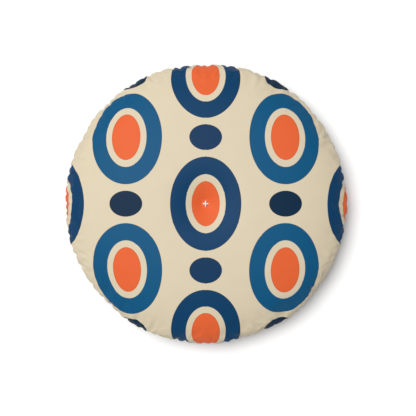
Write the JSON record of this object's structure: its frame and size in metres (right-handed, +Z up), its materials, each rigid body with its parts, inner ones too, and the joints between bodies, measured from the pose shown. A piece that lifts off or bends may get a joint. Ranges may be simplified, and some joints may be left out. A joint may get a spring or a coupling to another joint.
{
  "type": "round floor cushion",
  "caption": "Round stuffed floor cushion: two cloth panels seamed at the edge, with a cord tuft that dimples the middle of both faces.",
  "frame": {"origin": "centre of the underside, on the surface that the cushion rests on", "axes": "+Z up through the tuft; +Y towards the back of the cushion, where the stuffing hole and the label are"},
  "size_m": [0.6586, 0.6586, 0.1478],
  "materials": {
    "printed_cloth": "woven cotton printed in blue, navy, orange and cream",
    "printed_cloth_under": "the same printed cotton on the underside",
    "polyester_fibre": "loose white polyester fibre",
    "sewing_thread": "spun polyester thread",
    "tuft_cord": "thick white twisted cotton cord",
    "label_satin": "blank white satin tape"
  },
  "bodies": {
    "root": {"top_panel": "printed_cloth", "bottom_panel": "printed_cloth_under", "fibre_fill": "polyester_fibre", "seam_needle_thread": "sewing_thread", "seam_bobbin_thread": "sewing_thread", "overlock_thread": "sewing_thread", "closing_thread": "sewing_thread", "tuft_cord_x": "tuft_cord", "tuft_cord_y": "tuft_cord", "tuft_knot": "tuft_cord", "care_label": "label_satin"}
  },
  "joints": []
}
